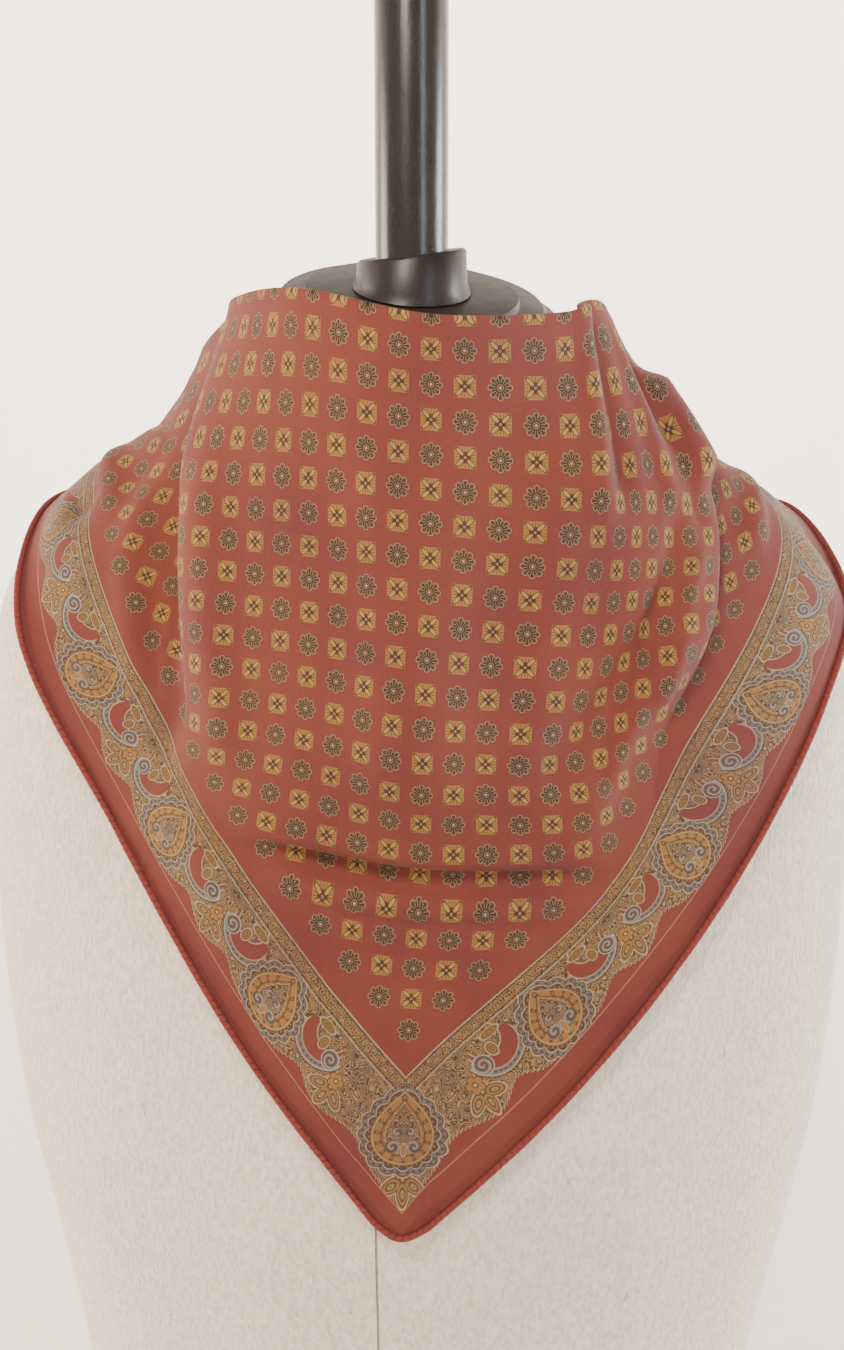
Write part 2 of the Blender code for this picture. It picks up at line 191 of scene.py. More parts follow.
RIGHT_LINES = {
    "front": (
        (52, 56, -56, -4),
        (58, 64, -82, -64),
        (58, 60, -93, -114),
        (56, 55, -104, -157),
        (50, 52, -105, -208),
        (22, 18, -113, -279),
        POINT,
    ),
    "pleat": (
        (84, 69, -26, -1),
        (104, 89, -68, -67),
        (104, 88, -85, -113),
        (96, 80, -92, -154),
        (77, 76, -99, -206),
        (33, 30, -110, -280),
        POINT,
    ),
    "fold": (
        (125, 80, 8, -14),
        (143, 111, -52, -71),
        (136, 107, -75, -113),
        (114, 92, -85, -153),
        (94, 90, -94, -203),
        (41, 38, -109, -281),
        POINT,
    ),
    "shoulder": (
        (190, 92, 54, -46),
        (166, 114, -36, -72),
        (160, 117, -60, -114),
        (134, 106, -75, -152),
        (108, 102, -89, -200),
        (48, 45, -107, -283),
        POINT,
    ),
    "side": (
        (272, 100, 96, -98),
        (230, 136, 0, -75),
        (200, 145, -36, -106),
        (164, 137, -61, -144),
        (123, 115, -84, -200),
        (55, 52, -105, -284),
        POINT,
    ),
    "hem": (
        (353.6, 103, 102, -176),
        (295.6, 147, 55, -90),
        (242.6, 170, -8, -107),
        (194.6, 163, -46, -135),
        (136.6, 125, -78, -201),
        (61.6, 58, -103, -286),
        POINT,
    ),
}
LINE_ORDER = ("front", "fold", "recess", "shoulder", "side", "hem")
RIGHT_ORDER = ("front", "pleat", "fold", "shoulder", "side", "hem")

# Folds laid on the drape: start and end as (s, t), half width, height outwards.
FOLDS = (
    ((-70, 214), (66, 214), 5.0, -4.5),      # tuck across the chest, upper crease
    ((-60, 224), (56, 224), 5.0, 3.0),       # the roll under it
    ((76, -10), (80, 62), 8.0, -4.0),        # pleat beside the neck
    ((62, -10), (66, 70), 6.0, 2.5),
    ((150, 96), (54, 196), 10.0, 3.5),       # slanting ridge down the right side
    ((118, 92), (40, 176), 10.0, -3.0),
    ((28, 20), (24, 190), 16.0, -2.5),       # soft trough right of the middle
    ((-18, 40), (-8, 190), 18.0, 2.0),
    ((110, 10), (128, 40), 7.0, -3.5),       # ripples over the right shoulder
    ((-140, 150), (-96, 205), 9.0, -2.0),
    ((-215, 60), (-290, 10), 14.0, -3.0),    # behind the shoulders
    ((-250, 70), (-320, 20), 12.0, 2.5),
    ((205, 50), (300, 8), 14.0, -3.0),
    ((240, 60), (325, 16), 12.0, 2.5),
    ((134, 14), (146, 54), 16.0, 8.0),       # the right shoulder's full outline
    ((-238, 40), (-184, 94), 9.0, 3.5),      # the left border drops behind the field's edge
    ((-254, 44), (-198, 102), 7.0, -4.0),
    ((228, 40), (178, 92), 9.0, 3.0),        # and the right one
    ((244, 44), (192, 100), 7.0, -4.0),
    ((-128, 64), (-112, 176), 8.0, -3.5),    # hollow beside the left fold's edge
    ((-104, 50), (-84, 180), 9.0, 2.0),
)
# Creases too fine for the solids, in the same terms.
FINE_FOLDS = (
    ((-112, 56), (-88, 182), 9.5, 2.2),      # crest of the left fold
    ((-136, 60), (-112, 182), 8.0, -2.5),
    ((-76, 211), (72, 211), 4.2, -2.4),      # the chest tuck's own crease
    ((-60, 221), (56, 221), 4.5, 1.6),
    ((-66, 203), (60, 203), 6.0, 1.2),
    ((96, 4), (118, 66), 5.0, 1.8),          # ripples that fan down from the neck's right
    ((106, 0), (136, 74), 4.5, -1.6),
    ((120, 60), (98, 132), 6.0, -2.2),
    ((134, 74), (110, 150), 5.0, 1.8),
    ((104, 120), (70, 178), 5.0, -1.6),
    ((-38, 60), (-30, 180), 12.0, -1.2),     # long soft waves in the middle
    ((48, 60), (44, 190), 10.0, 1.4),
    ((-150, 110), (-112, 190), 6.0, -1.4),
    ((-176, 70), (-140, 160), 7.0, 1.2),
    ((-20, 250), (-60, 285), 7.0, 0.9),      # faint creases towards the point
    ((24, 262), (52, 300), 7.0, -0.9),
)


# ---- smooth curves through tables ----
def tangents(knots, values):
    """Finite-difference slopes of values (rows) over knots."""
    steps = np.diff(knots)
    slopes = np.diff(values, axis=0) / steps.reshape(-1, *([1] * (values.ndim - 1)))
    out = np.empty_like(values)
    out[0] = slopes[0]
    out[-1] = slopes[-1]
    for i in range(1, len(knots) - 1):
        before = steps[i - 1]
        after = steps[i]
        out[i] = (slopes[i - 1] * after + slopes[i] * before) / (before + after)
    return out


def smooth_at(knots, values, where):
    """Cubic Hermite reading of a table at one or many places."""
    where = np.asarray(where, dtype=float)
    slopes = tangents(knots, values)
    i = np.clip(np.searchsorted(knots, where) - 1, 0, len(knots) - 2)
    spread = where.shape + (1,) * (values.ndim - 1)
    span = (knots[i + 1] - knots[i]).reshape(spread)
    u = ((where - knots[i]) / (knots[i + 1] - knots[i])).reshape(spread)
    return (
        values[i] * (2 * u**3 - 3 * u**2 + 1)
        + values[i + 1] * (3 * u**2 - 2 * u**3)
        + slopes[i] * span * (u**3 - 2 * u**2 + u)
        + slopes[i + 1] * span * (u**3 - u**2)
    )


# ---- the dress form's surface ----
def form_section(level):
    """Half width, front depth and back depth at each level."""
    table = np.array(FORM_SECTIONS)[::-1]
    return smooth_at(table[:, 0], table[:, 1:], np.clip(level, table[0, 0], table[-1, 0]))


def form_excess(points):
    """Below 1 inside the form, above 1 outside."""
    x = points[..., 0] * math.cos(FORM_TURN) + points[..., 1] * math.sin(FORM_TURN)
    y = -points[..., 0] * math.sin(FORM_TURN) + points[..., 1] * math.cos(FORM_TURN)
    sections = form_section(points[..., 2])
    depth = np.where(y < 0, sections[..., 1], sections[..., 2])
    return np.sqrt((x / sections[..., 0]) ** 2 + (y / depth) ** 2)


def form_distance(points):
    """Distance off the form's cover, and the unit directions straight out of it."""
    slopes = [form_excess(points + d) - form_excess(points - d) for d in np.eye(3)]
    gradient = np.stack(slopes, axis=-1) / 2.0
    size = np.linalg.norm(gradient, axis=-1, keepdims=True)
    return (form_excess(points)[..., None] - 1.0) / size, gradient / size


def clear_of_form(points, clearance):
    """The same points, none nearer the form's cover than the clearance."""
    for _ in range(CLEARING_STEPS):
        off_form, outwards = form_distance(points)
        points = points + outwards * np.maximum(0.0, clearance - off_form)
    return points


def settled_behind(points):
    """Behind the shoulders the cloth lies down on the form."""
    off_form, outwards = form_distance(points)
    lying = 1.0 / (1.0 + np.exp(-(points[..., 1:2] - SETTLES_FROM) / SETTLES_OVER))
    standing = np.maximum(0.0, off_form - CLEAR_OF_FORM)
    return points - outwards * standing * lying * SETTLES_SHARE


# ---- the scarf's surface ----
def fold_height(s, t, folds):
    """Height that the folds add at each flat place: soft ridges and troughs along short lines."""
    total = np.zeros_like(s)
    for start, end, width, height in folds:
        along = np.subtract(end, start).astype(float)
        length = float(np.linalg.norm(along))
        ds = s - start[0]
        dt = t - start[1]
        u = (ds * along[0] + dt * along[1]) / length**2
        across = np.abs(ds * along[1] - dt * along[0]) / length
        ends = np.exp(-((np.maximum(0.0, np.abs(u - 0.5) - FOLD_FULL_HALF) / FOLD_END_SOFT) ** 2))
        total += height * ends * np.exp(-((across / width) ** 2))
    return total


def grid_normals(points):
    """Unit normals that face away from the form."""
    along = np.gradient(points, axis=1)
    down = np.gradient(points, axis=0)
    normals = np.cross(along, down)
    normals /= np.linalg.norm(normals, axis=2, keepdims=True)
    middle = normals[points.shape[0] // 2, points.shape[1] // 2]
    return normals if middle[1] < 0 else -normals


def rounded_point(points, levels):
    """Lets the last rows sag in the middle, so that the scarf's point is round."""
    off_middle = np.linspace(-1.0, 1.0, CLOTH_COLUMNS)
    fading = np.exp((levels - levels[-1]) / TIP_ROUND_DEEP)
    sag = TIP_ROUND * fading[:, None] * (1.0 - off_middle**2)
    down = np.gradient(points, axis=0)
    down /= np.linalg.norm(down, axis=2, keepdims=True)
    return points + down * sag[..., None], sag


def doubled_cloth(rows):
    """The doubled cloth's middle surface: flat places (s, t), points and normals."""
    knots = np.array(SECTION_T)
    left = [np.array(LEFT_LINES[name], dtype=float) * (-1, 1, 1, 1) for name in LINE_ORDER]
    right = [np.array(RIGHT_LINES[name], dtype=float) for name in RIGHT_ORDER]
    lines = np.stack(left[::-1] + [np.array(CENTRE, dtype=float)] + right, axis=1)
    levels = (HALF_FOLD - TIP_BLUNT) * np.linspace(0.0, 1.0, rows) ** ROW_SPREAD
    tables = smooth_at(knots, lines, levels)
    tables[:, 0, 0] = levels - HALF_FOLD
    tables[:, -1, 0] = HALF_FOLD - levels
    line_numbers = np.arange(float(lines.shape[1]))
    stations = np.linspace(0.0, line_numbers[-1], CLOTH_COLUMNS)
    places = smooth_at(line_numbers, tables.transpose(1, 0, 2), stations).transpose(1, 0, 2)
    s = places[..., 0]
    t = np.broadcast_to(levels[:, None], s.shape)
    points = clear_of_form(settled_behind(places[..., 1:]), CLEAR_OF_FORM)
    lifted = points + grid_normals(points) * fold_height(s, t, FOLDS)[..., None]
    points = clear_of_form(lifted, CLEAR_OF_FORM)
    lifted = points + grid_normals(points) * fold_height(s, t, FINE_FOLDS)[..., None]
    points = clear_of_form(lifted, CLEAR_OF_FORM)
    points, sag = rounded_point(points, levels)
    return np.stack((s, t + sag), axis=-1), points, grid_normals(points)


def folded_sheet():
    """Rows of the whole square from the outer point, over the fold, to the inner point."""
    outer_flat, outer, outer_normals = doubled_cloth(OUTER_ROWS)
    inner_flat, inner, inner_normals = doubled_cloth(INNER_ROWS)
    outer_apart = PLY_APART + FOLD_ROLL * np.exp(-outer_flat[..., 1:] / FOLD_ROLL_DEEP)
    inner_apart = PLY_APART + FOLD_ROLL * np.exp(-inner_flat[..., 1:] / FOLD_ROLL_DEEP)
    upwards = outer[0] - outer[1]
    upwards -= outer_normals[0] * np.sum(upwards * outer_normals[0], axis=1, keepdims=True)
    upwards /= np.linalg.norm(upwards, axis=1, keepdims=True)
    rows = [(outer + outer_normals * outer_apart)[::-1]]
    facing = [outer_normals[::-1]]
    flats = [outer_flat[::-1]]
    for k in range(1, ROLL_STEPS):
        angle = math.pi * k / ROLL_STEPS
        turned = outer_normals[0] * math.cos(angle) + upwards * math.sin(angle)
        rows.append((outer[0] + turned * outer_apart[0])[None])
        facing.append(turned[None])
        flats.append(outer_flat[:1])
    rows.append(inner - inner_normals * inner_apart)
    facing.append(-inner_normals)
    flats.append(inner_flat)
    return np.concatenate(rows), np.concatenate(facing), np.concatenate(flats)


# ---- meshes ----
def add_object(name, data):
    """A new object in the scene."""
    thing = bpy.data.objects.new(name, data)
    bpy.context.scene.collection.objects.link(thing)
    return thing


def new_piece(name, vertices, faces, material, smooth_angle=60.0):
    """A mesh piece of the object that rides on the one body."""
    mesh = bpy.data.meshes.new(name)
    placed = np.array(vertices, dtype=float) + (0.0, 0.0, CAP_HEIGHT)
    mesh.from_pydata((placed * MM).tolist(), [], faces)
    mesh.materials.append(material)
    work = bmesh.new()
    work.from_mesh(mesh)
    bmesh.ops.recalc_face_normals(work, faces=work.faces)
    work.to_mesh(mesh)
    work.free()
    mesh.shade_smooth()
    mesh.set_sharp_from_angle(angle=math.radians(smooth_angle))
    thing = add_object(name, mesh)
    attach(thing, "root")
    return thing


def write_attribute(thing, name, values):
    """One vector at each vertex, which the materials read."""
    values = np.asarray(values, dtype=np.float32)
    vectors = np.zeros((len(values), 3), dtype=np.float32)
    vectors[:, : values.shape[1]] = values
    layer = thing.data.attributes.new(name, "FLOAT_VECTOR", "POINT")
    layer.data.foreach_set("vector", vectors.ravel())


def grid_faces(rows, columns, start=0, flipped=False):
    """Quads between the rows of a grid whose first vertex is start."""
    faces = []
    for j in range(rows - 1):
        for i in range(columns - 1):
            a = start + j * columns + i
            corner = (a, a + 1, a + columns + 1, a + columns)
            faces.append(corner[::-1] if flipped else corner)
    return faces


def rim_loop(rows, columns):
    """Vertex numbers once round a grid's edge."""
    loop = list(range(columns))
    loop += [j * columns + columns - 1 for j in range(1, rows)]
    loop += [(rows - 1) * columns + i for i in range(columns - 2, -1, -1)]
    loop += [j * columns for j in range(rows - 2, 0, -1)]
    return loop


def ring_faces(rings, segments, closed):
    """Quads between neighbouring rings, and from the last to the first if closed."""
    faces = []
    for j in range(rings if closed else rings - 1):
        following = (j + 1) % rings
        for k in range(segments):
            nxt = (k + 1) % segments
            near = (j * segments + k, j * segments + nxt)
            far = (following * segments + nxt, following * segments + k)
            faces.append(near + far)
    return faces


def build_cloth(material):
    """The whole square as one folded shell of the real cloth's thickness."""
    points, normals, flats = folded_sheet()
    rows, columns = points.shape[:2]
    front = (points + normals * CLOTH_THICK / 2.0).reshape(-1, 3)
    back = (points - normals * CLOTH_THICK / 2.0).reshape(-1, 3)
    count = rows * columns
    faces = grid_faces(rows, columns) + grid_faces(rows, columns, count, True)
    rim = rim_loop(rows, columns)
    for k, a in enumerate(rim):
        b = rim[(k + 1) % len(rim)]
        faces.append((a, count + a, count + b, b))
    cloth = new_piece("scarf_cloth", np.concatenate((front, back)), faces, material, 85.0)
    flat = flats.reshape(-1, 2)
    write_attribute(cloth, "cut", np.concatenate((flat, flat)))
    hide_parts("scarf_outer_layer", "scarf_inner_layer")
    return cloth


def even_path(path, step):
    """The same line with points at even distances."""
    lengths = np.concatenate(([0.0], np.cumsum(np.linalg.norm(np.diff(path, axis=0), axis=1))))
    places = np.linspace(0.0, lengths[-1], int(lengths[-1] / step) + 1)
    return np.stack([np.interp(places, lengths, path[:, k]) for k in range(3)], axis=1), places


def hem_path(points, normals, lift, beyond):
    """The edge from the left end of the fold round the point to the right end."""
    rows, columns = points.shape[:2]
    edge = [(j, 0) for j in range(rows)]
    edge += [(rows - 1, i) for i in range(1, columns - 1)]
    edge += [(j, columns - 1) for j in range(rows - 1, -1, -1)]
    line = np.array([points[j, i] for j, i in edge])
    facing = np.array([normals[j, i] for j, i in edge])
    keep = [0]
    for k in range(1, len(line)):
        if np.linalg.norm(line[k] - line[keep[-1]]) > HEM_POINT_APART:
            keep.append(k)
    line = line[keep]
    facing = facing[keep]
    ahead = np.gradient(line, axis=0)
    outward = np.cross(ahead, facing)
    outward /= np.linalg.norm(outward, axis=1, keepdims=True)
    beside = rows // 3
    if float(outward[beside] @ (line[beside] - points[beside, columns // 2])) < 0:
        outward = -outward
    return line + outward * beyond + facing * lift


def build_hem(name, node, lift, beyond, material):
    """A hand-rolled hem: a soft tube, pinched at each stitch."""
    _, points, normals = doubled_cloth(OUTER_ROWS)
    path, places = even_path(hem_path(points, normals, lift, beyond), 1.0)
    for _ in range(HEM_SMOOTHING):
        path[1:-1] = (path[:-2] + 2.0 * path[1:-1] + path[2:]) / 4.0
    ahead = np.gradient(path, axis=0)
    ahead /= np.linalg.norm(ahead, axis=1, keepdims=True)
    side = np.cross(ahead[0], (0.0, 0.0, 1.0))
    vertices = []
    flat = []
    for point, direction, place in zip(path, ahead, places):
        side = side - direction * float(side @ direction)
        side /= np.linalg.norm(side)
        up = np.cross(direction, side)
        pinch = 0.5 + 0.5 * math.cos(2.0 * math.pi * place / STITCH_APART)
        wander = math.sin(place / 9.3) * 0.04 + math.sin(place / 3.9 + 1.0) * 0.03
        radius = HEM_RADIUS * (0.99 - 0.1 * pinch**4 + wander)
        for k in range(HEM_SIDES):
            angle = 2.0 * math.pi * k / HEM_SIDES
            vertices.append(point + radius * (math.cos(angle) * side + math.sin(angle) * up))
            flat.append((place, HEM_RADIUS * angle))
    faces = ring_faces(len(path), HEM_SIDES, False)
    faces.append(tuple(range(HEM_SIDES)))
    faces.append(tuple(range((len(path) - 1) * HEM_SIDES, len(path) * HEM_SIDES)))
    hem = new_piece(name, vertices, faces, material)
    write_attribute(hem, "cut", flat)
    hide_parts(node)
    return hem


def build_cover(material):
    """The form's padded body under its linen, with the pole's bore."""
    levels = np.concatenate([np.linspace(*run) for run in COVER_ROWS])
    angles = np.arange(COVER_SEGMENTS) * 2.0 * math.pi / COVER_SEGMENTS
    vertices = []
    flat = []
    for index, level in enumerate(levels):
        width, front, back = form_section(level)
        depth = np.where(np.sin(angles) < 0, front, back)
        x = width * np.cos(angles)
        y = depth * np.sin(angles)
        turned_x = x * math.cos(FORM_TURN) - y * math.sin(FORM_TURN)
        turned_y = x * math.sin(FORM_TURN) + y * math.cos(FORM_TURN)
        lift = (CAP_TILT * turned_y - CAP_ROLL * turned_x) * (1.0 if index == 0 else 0.0)
        vertices += list(zip(turned_x, turned_y, level + lift))
        flat += list(zip(x, y, np.full(COVER_SEGMENTS, level)))
    for level, tilted in ((levels[-1], 0.0), (levels[0], 1.0)):
        x = BORE_RADIUS * np.cos(angles)
        y = BORE_RADIUS * np.sin(angles)
        vertices += list(zip(x, y, level + tilted * (CAP_TILT * y - CAP_ROLL * x)))
        flat += list(zip(x, y, np.full(COVER_SEGMENTS, level)))
    faces = ring_faces(len(levels) + 2, COVER_SEGMENTS, True)
    cover = new_piece("form_cover", vertices, faces, material, 50.0)
    write_attribute(cover, "cover", flat)
    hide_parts("form_torso")
    return cover


# ---- shader arithmetic ----
class Field:
    """A number that varies over a surface; arithmetic on it adds Math nodes."""

    def __init__(self, tree, socket):
        self.tree = tree
        self.socket = socket

    def math(self, operation, *others, clamp=False):
        node = self.tree.nodes.new("ShaderNodeMath")
        node.operation = operation
        node.use_clamp = clamp
        for socket, value in zip(node.inputs, (self, *others)):
            if isinstance(value, Field):
                self.tree.links.new(value.socket, socket)
            else:
                socket.default_value = value
        return Field(self.tree, node.outputs[0])

    def __add__(self, other):
        return self.math("ADD", other)

    def __radd__(self, other):
        return self.math("ADD", other)

    def __sub__(self, other):
        return self.math("SUBTRACT", other)

    def __rsub__(self, other):
        return self.math("MULTIPLY_ADD", -1.0, other)

    def __mul__(self, other):
        return self.math("MULTIPLY", other)

    def __rmul__(self, other):
        return self.math("MULTIPLY", other)

    def __truediv__(self, other):
        return self.math("DIVIDE", other)

    def __abs__(self):
        return self.math("ABSOLUTE")

    def __neg__(self):
        return self.math("MULTIPLY", -1.0)

    def lower(self, other):
        return self.math("MINIMUM", other)

    def higher(self, other):
        return self.math("MAXIMUM", other)

    def sine(self):
        return self.math("SINE")

    def cosine(self):
        return self.math("COSINE")

    def above(self, limit, soft):
        """0 below the limit, 1 above it, over a soft edge."""
        return self.math("MULTIPLY_ADD", 1.0 / soft, 0.5 - limit / soft, clamp=True)

    def below(self, limit, soft):
        """1 below the limit, 0 above it."""
        return self.math("MULTIPLY_ADD", -1.0 / soft, 0.5 + limit / soft, clamp=True)

    def near(self, centre, half, soft):
        """1 within half of the centre."""
        return abs(self - centre).below(half, soft)

    def or_else(self, other, pick):
        """This Field where pick is 0, the other where it is 1."""
        return self + (other - self) * pick


def distance(x, y):
    return (x * x + y * y).math("SQRT")


class Paint:
    """A colour built up in layers of mixes."""

    def __init__(self, tree, colour):
        self.tree = tree
        self.socket = None
        self.colour = linear(colour)

    def over(self, colour, mask):
        """Lays a colour, or another Paint, over this one where the mask is 1."""
        node = self.tree.nodes.new("ShaderNodeMix")
        node.data_type = "RGBA"
        self.tree.links.new(mask.socket, node.inputs["Factor"])
        for socket, value in ((node.inputs[6], self), (node.inputs[7], colour)):
            if isinstance(value, Paint) and value.socket is not None:
                self.tree.links.new(value.socket, socket)
            elif isinstance(value, Paint):
                socket.default_value = value.colour
            else:
                socket.default_value = linear(value)
        self.socket = node.outputs[2]
        return self

    def onto(self, shader):
        """Makes it the shader's colour."""
        self.tree.links.new(self.socket, shader.inputs["Base Color"])

    def shaded(self, factor):
        """Multiplies the colour by a Field."""
        node = self.tree.nodes.new("ShaderNodeVectorMath")
        node.operation = "SCALE"
        self.tree.links.new(self.socket, node.inputs[0])
        self.tree.links.new(factor.socket, node.inputs["Scale"])
        self.socket = node.outputs[0]
        return self


def linear(colour):
    """An 8-bit display colour as a linear RGBA value."""
    shares = [c / 255.0 for c in colour]
    light = [c / 12.92 if c <= 0.04045 else ((c + 0.055) / 1.055) ** 2.4 for c in shares]
    return (*light, 1.0)


def new_material(name, roughness):
    """An empty principled material, its tree and its shader."""
    material = bpy.data.materials.new(name)
    material.use_nodes = True
    shader = material.node_tree.nodes["Principled BSDF"]
    shader.inputs["Roughness"].default_value = roughness
    return material, material.node_tree, shader


def parts_of(tree, vector):
    """The three numbers of a vector socket."""
    node = tree.nodes.new("ShaderNodeSeparateXYZ")
    tree.links.new(vector, node.inputs[0])
    return [Field(tree, output) for output in node.outputs]


def attribute(tree, name):
    """A vertex vector as three Fields and the vector socket itself."""
    node = tree.nodes.new("ShaderNodeAttribute")
    node.attribute_name = name
    vector = node.outputs["Vector"]
    return parts_of(tree, vector), vector


def object_place(tree):
    """The place in the part's own frame, in metres."""
    vector = tree.nodes.new("ShaderNodeTexCoord").outputs["Object"]
    return parts_of(tree, vector), vector


def noise(tree, vector, scale, detail=2.0, distortion=0.0, stretch=None):
    """Noise around 0.5, on a vector that may be stretched first."""
    if stretch is not None:
        scaled = tree.nodes.new("ShaderNodeVectorMath")
        scaled.operation = "MULTIPLY"
        tree.links.new(vector, scaled.inputs[0])
        scaled.inputs[1].default_value = stretch
        vector = scaled.outputs[0]
    node = tree.nodes.new("ShaderNodeTexNoise")
    node.inputs["Scale"].default_value = scale
    node.inputs["Detail"].default_value = detail
    node.inputs["Distortion"].default_value = distortion
    tree.links.new(vector, node.inputs["Vector"])
    return Field(tree, node.outputs[0])


def bump(tree, shader, height, depth):
    """A bump of a height Field (0 to 1), depth metres deep."""
    node = tree.nodes.new("ShaderNodeBump")
    node.inputs["Strength"].default_value = 1.0
    node.inputs["Distance"].default_value = depth
    tree.links.new(height.socket, node.inputs["Height"])
    tree.links.new(node.outputs[0], shader.inputs["Normal"])


# ---- the print ----
# Motif functions work in millimetres of the flat square: a number in a mask is the place, half
# width or edge of a printed line in its motif.
PITCH = 12.54                 # between motifs along the fold and across it
FIRST_ROW = 21.88             # row of the motif nearest the point, in pitches from the fold
FIELD_EDGE = 43.5             # border's width in from the hem
LAST_MOTIF = 55.0             # no motif's middle is nearer the hem than this
LINE_IN = 9.3                 # thin line in the plain edge
GUARD_IN = 37.0               # guard stripe's outer line
REPEAT = 75.0                 # palmette to palmette along the hem
FIRST_PALMETTE = 61.5         # from the corner
BOTEH_MIDDLE = 20.5           # in from the hem
BOTEH_SIZE = 14.6
BOTEH_NARROW = 0.88           # below 1: wider than its size says
MEDAL_MIDDLE = 21.5           # corner boteh's middle, below the field's corner
MEDAL_SIZE = 15.6
MEDAL_NARROW = 0.78
PALMETTE_FOOT = 10.0          # in from the hem
SOFT = 0.24                   # edge of a printed line
DIAGONAL = math.sqrt(0.5)
PRINT_DEPTH = 0.46            # how much light the dyed cotton gives back

RED = (158, 76, 65)
RED_DEEP = (122, 54, 58)
RED_HEM = (156, 68, 62)
GOLD = (206, 152, 78)
OCHRE = (170, 128, 70)
ORANGE = (198, 142, 70)
TAUPE = (134, 108, 82)
UMBER = (104, 78, 60)
SAND = (176, 150, 112)
GREY_BLUE = (142, 134, 124)
CREAM = (214, 194, 160)
PALE = (200, 194, 182)
BROWN = (66, 44, 30)


def scallop(angle, count):
    """Rounded teeth, 0 to 1."""
    return abs((angle * count).sine())


def stroke(paint, colour, d, at, half, share=1.0):
    """A printed line where a distance Field passes a value."""
    paint.over(colour, d.near(at, half, SOFT) * share)


def paint_square(tree, x, y):
    """Square motif with four pale diagonal petals in dark outline, and rays between them."""
    ax = abs(x)
    ay = abs(y)
    reach = ax.higher(ay)
    fan = ax.lower(ay) / reach.higher(0.3)
    along = (ax + ay) * DIAGONAL
    off = abs(ax - ay) * DIAGONAL
    petal = distance((along - 2.7) / 2.0, off / 0.72)
    paint = Paint(tree, GOLD)
    paint.over(BROWN, fan.below(0.42, 0.2) * reach.below(2.1, 0.5) * 0.85)
    paint.over(BROWN, fan.near(0.0, 0.05, 0.06) * reach.near(2.8, 0.9, SOFT) * 0.8)
    paint.over(BROWN, fan.near(0.34, 0.05, 0.06) * reach.near(3.0, 0.7, SOFT) * 0.7)
    paint.over(BROWN, petal.below(1.35, 0.25) * 0.75)
    paint.over((222, 176, 98), petal.below(0.85, 0.25))
    paint.over(BROWN, distance(x, y).below(1.15, SOFT) * 0.9)
    paint.over(SAND, distance(x, y).below(0.6, SOFT))
    return paint, reach.below(3.95, SOFT)


def paint_rosette(tree, x, y):
    """Round motif of eight looped petals round a pale eye."""
    angle = x.math("ARCTAN2", y)
    r = distance(x, y)
    petals = abs((angle * 4.0).cosine())
    rim = 3.5 + petals * 1.1
    paint = Paint(tree, UMBER)
    paint.over(SAND, petals.near(0.7, 0.13, 0.12) * r.above(1.6, 0.3))
    paint.over(BROWN, petals.below(0.4, 0.15) * r.above(1.5, 0.3) * 0.85)
    paint.over(BROWN, petals.above(0.95, 0.04) * r.near(2.6, 0.8, 0.3) * 0.6)
    paint.over(BROWN, (rim - r).near(0.75, 0.14, SOFT) * 0.75)
    paint.over((186, 160, 120), (rim - r).near(0.26, 0.19, SOFT))
    paint.over(BROWN, r.near(1.5, 0.2, SOFT) * 0.85)
    paint.over(SAND, r.near(1.08, 0.14, SOFT))
    paint.over(BROWN, r.near(0.78, 0.12, SOFT) * 0.8)
    paint.over(CREAM, r.below(0.52, SOFT))
    return paint, (r - rim).below(0.0, SOFT)


def paint_field(tree, s, t):
    """The ground with its chequer of squares and rosettes."""
    column = s / PITCH
    row = FIRST_ROW + 1.0 - t / PITCH
    column_id = column.math("ROUND")
    row_id = row.math("ROUND")
    x = (column - column_id) * PITCH
    y = (row - row_id) * PITCH
    odd = ((column_id + row_id) * 0.5).math("FRACT").above(0.25, 0.01)
    square, square_mask = paint_square(tree, x, y)
    rosette, rosette_mask = paint_rosette(tree, x, y)
    middle_t = (FIRST_ROW + 1.0 - row_id) * PITCH
    from_hem = (HALF_FOLD - middle_t - abs(column_id) * PITCH) * DIAGONAL
    shown = from_hem.above(LAST_MOTIF, 0.01)
    paint = Paint(tree, RED)
    paint.over(square, square_mask * (1.0 - odd) * shown)
    paint.over(rosette, rosette_mask * odd * shown)
    return paint


def paint_arabesque(tree, h, a, ground):
    """Dense fine scrollwork: flowing dark and pale lines over patches of two tints."""
    place = tree.nodes.new("ShaderNodeCombineXYZ")
    tree.links.new(h.socket, place.inputs[0])
    tree.links.new(a.socket, place.inputs[1])
    flow = noise(tree, place.outputs[0], 0.19, 0.0, 1.6)
    lines = (flow * 52.0).sine()
    patches = noise(tree, place.outputs[0], 0.15, 1.0)
    paint = Paint(tree, ground)
    paint.over(TAUPE, patches.above(0.5, 0.06) * 0.8)
    paint.over(BROWN, lines.above(0.5, 0.5) * 0.7)
    paint.over(CREAM, lines.below(-0.72, 0.3) * 0.75)
    return paint


def boteh_distance(x, y, size):
    """Below 0 inside an onion shape with its point at +y, and the angle round it."""
    angle = abs(x).math("ARCTAN2", y)
    peak = (angle * -2.4).math("EXPONENT")
    return distance(x, y) - size * (0.83 + 0.4 * peak), angle


